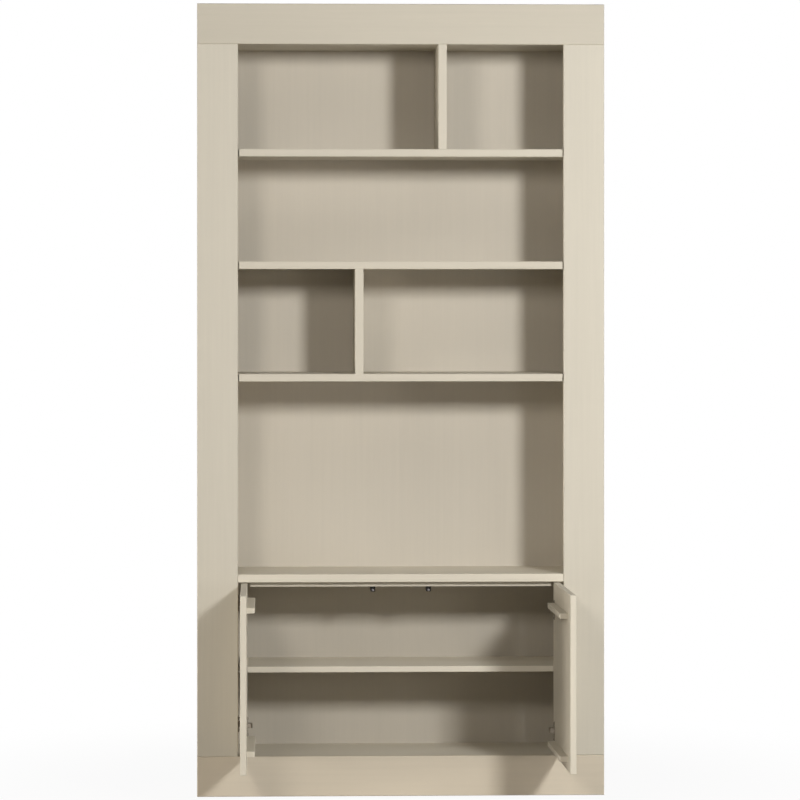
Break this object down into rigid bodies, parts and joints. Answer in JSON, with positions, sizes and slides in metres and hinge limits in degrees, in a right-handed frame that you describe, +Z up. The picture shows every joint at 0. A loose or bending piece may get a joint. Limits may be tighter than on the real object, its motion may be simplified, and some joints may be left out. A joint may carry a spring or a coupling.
{
  "type": "bookcase with cabinet doors",
  "caption": "Tall painted wooden bookcase with a wide face frame, open shelves with off-centre dividers, and a cabinet at its foot behind inset doors on concealed hinges.",
  "frame": {"origin": "on the floor, at the middle of the width and of the carcass depth, under the centre support", "axes": "+X to the right seen from the front, +Y from the front to the wall, +Z up"},
  "size_m": [1.08, 0.7035, 2.1],
  "materials": {
    "batten_paint": "matte paint, grain along the batten",
    "carcass_paint_upright": "matte paint, grain upright",
    "door_paint": "matte paint, brushed upright",
    "frame_paint_level": "matte paint brushed along a level board",
    "frame_paint_upright": "matte paint brushed along an upright board",
    "hidden_rail_paint": "matte paint, grain along the rail",
    "hinge_steel": "nickel plated, satin",
    "latch_black": "matte, fine grain",
    "plunger_grey": "matte",
    "screw_steel": "zinc plated",
    "shelf_paint": "matte paint, grain level",
    "shelf_pin_steel": "nickel plated"
  },
  "bodies": {
    "cabinet": {"bottom_panel": "shelf_paint", "crown_board": "frame_paint_level", "hinge_arm_screws": "screw_steel", "hinge_plate_screws": "screw_steel", "inner_shelf": "shelf_paint", "latch_rail": "shelf_paint", "latch_screws": "screw_steel", "left_cheek": "carcass_paint_upright", "left_latch_housing": "latch_black", "left_lower_hinge_arm": "hinge_steel", "left_lower_hinge_plate": "hinge_steel", "left_side_panel": "carcass_paint_upright", "left_upper_hinge_arm": "hinge_steel", "left_upper_hinge_plate": "hinge_steel", "left_upright": "frame_paint_upright", "lower_back_panel": "carcass_paint_upright", "lower_divider": "carcass_paint_upright", "lower_shelf": "shelf_paint", "middle_shelf": "shelf_paint", "plinth_board": "frame_paint_level", "plinth_centre_support": "hidden_rail_paint", "rear_plinth_rail": "hidden_rail_paint", "right_cheek": "carcass_paint_upright", "right_latch_housing": "latch_black", "right_lower_hinge_arm": "hinge_steel", "right_lower_hinge_plate": "hinge_steel", "right_side_panel": "carcass_paint_upright", "right_upper_hinge_arm": "hinge_steel", "right_upper_hinge_plate": "hinge_steel", "right_upright": "frame_paint_upright", "shelf_pins": "shelf_pin_steel", "top_panel": "shelf_paint", "upper_back_panel": "carcass_paint_upright", "upper_divider": "carcass_paint_upright", "upper_shelf": "shelf_paint", "worktop": "shelf_paint"},
    "left_door": {"left_cup_screws": "screw_steel", "left_door": "door_paint", "left_door_lower_batten": "batten_paint", "left_door_upper_batten": "batten_paint", "left_lower_hinge_cup": "hinge_steel", "left_lower_hinge_pin": "hinge_steel", "left_upper_hinge_cup": "hinge_steel", "left_upper_hinge_pin": "hinge_steel"},
    "right_door": {"right_cup_screws": "screw_steel", "right_door": "door_paint", "right_door_lower_batten": "batten_paint", "right_door_upper_batten": "batten_paint", "right_lower_hinge_cup": "hinge_steel", "right_lower_hinge_pin": "hinge_steel", "right_upper_hinge_cup": "hinge_steel", "right_upper_hinge_pin": "hinge_steel"},
    "left_plunger": {"left_latch_plunger": "plunger_grey"},
    "right_plunger": {"right_latch_plunger": "plunger_grey"}
  },
  "joints": [
    {"name": "left_door_swing", "type": "hinge", "parent": "cabinet", "child": "left_door", "pos_m": [-0.414, -0.141, 0.347], "axis": [0, 0, -1], "range_deg": [-90, 20]},
    {"name": "right_door_swing", "type": "hinge", "parent": "cabinet", "child": "right_door", "pos_m": [0.414, -0.141, 0.331], "axis": [0, 0, 1], "range_deg": [-91.3, 18.7]},
    {"name": "left_latch_press", "type": "slide", "parent": "cabinet", "child": "left_plunger", "axis": [0, 1, 0], "range_m": [0, 0.004], "stiffness_N_per_m": 400, "springref_m": -0.002},
    {"name": "right_latch_press", "type": "slide", "parent": "cabinet", "child": "right_plunger", "axis": [0, 1, 0], "range_m": [0, 0.004], "stiffness_N_per_m": 400, "springref_m": -0.002}
  ]
}
